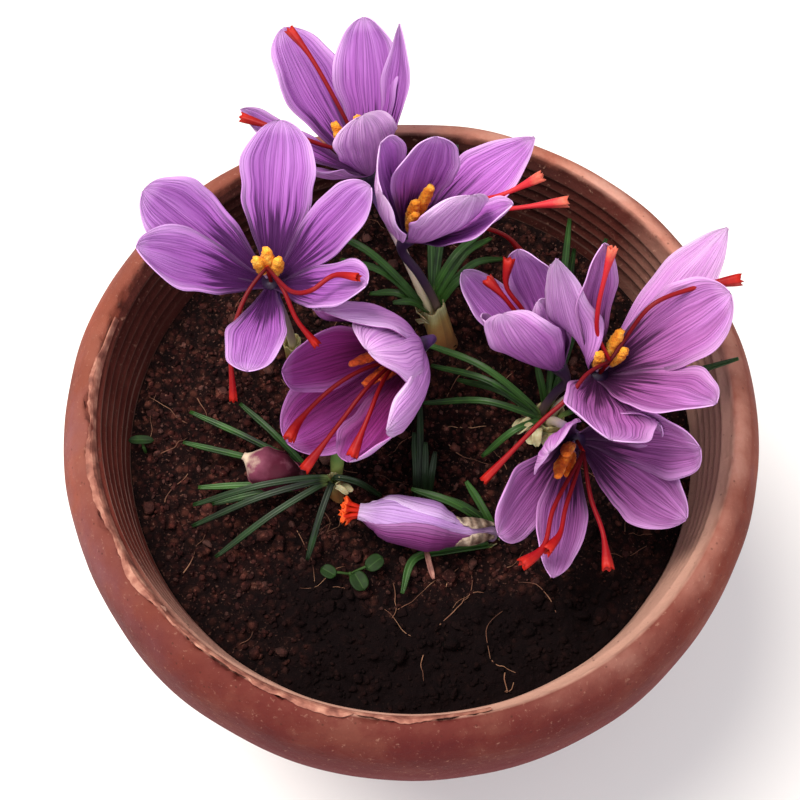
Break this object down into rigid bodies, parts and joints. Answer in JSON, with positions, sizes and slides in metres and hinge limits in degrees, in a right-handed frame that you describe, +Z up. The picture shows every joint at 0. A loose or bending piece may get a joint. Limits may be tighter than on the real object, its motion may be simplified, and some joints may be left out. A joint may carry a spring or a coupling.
{
  "type": "pot of saffron crocuses with bulbs",
  "caption": "Round clay-coloured pot of saffron crocuses: open lilac flowers with long red stigmas, buds and grassy leaves that grow from corms buried in dark crumbly soil.",
  "frame": {"origin": "centre of the pot's underside, where the pot rests", "axes": "+Z up out of the pot; -Y towards the side of the pot that the picture is taken from; +X to its right"},
  "size_m": [0.232, 0.2321, 0.2341],
  "materials": {
    "clay": "matte",
    "earth": "matte",
    "tepal": "satin",
    "bud": "satin",
    "anther": "matte",
    "stigma": "satin",
    "leaf": "satin",
    "sheath": "matte",
    "corm": "matte"
  },
  "bodies": {
    "root": {"bud_1": "tepal", "bud_1_stigmas": "stigma", "bud_2": "bud", "corm_back": "corm", "corm_bundle": "corm", "corm_front": "corm", "corm_left": "corm", "corm_middle": "corm", "corm_right": "corm", "corm_tuft": "corm", "corm_young": "corm", "flower_1": "tepal", "flower_2": "tepal", "flower_3": "tepal", "flower_4": "tepal", "flower_5": "tepal", "flower_6": "tepal", "flower_7": "tepal", "leaves_back": "leaf", "leaves_bundle": "leaf", "leaves_front": "leaf", "leaves_right": "leaf", "leaves_tuft": "leaf", "leaves_young": "leaf", "pot": "clay", "seedling_front": "leaf", "seedling_left": "leaf", "sheath_back": "sheath", "sheath_bundle": "sheath", "sheath_front": "sheath", "sheath_left": "sheath", "sheath_middle": "sheath", "sheath_right": "sheath", "sheath_tuft": "sheath", "sheath_young": "sheath", "soil": "earth", "stamens_1": "anther", "stamens_2": "anther", "stamens_3": "anther", "stamens_4": "anther", "stamens_5": "anther", "stamens_6": "anther", "stamens_7": "anther", "stigmas_1": "stigma", "stigmas_2": "stigma", "stigmas_3": "stigma", "stigmas_4": "stigma", "stigmas_5": "stigma", "stigmas_6": "stigma", "stigmas_7": "stigma"}
  },
  "joints": []
}
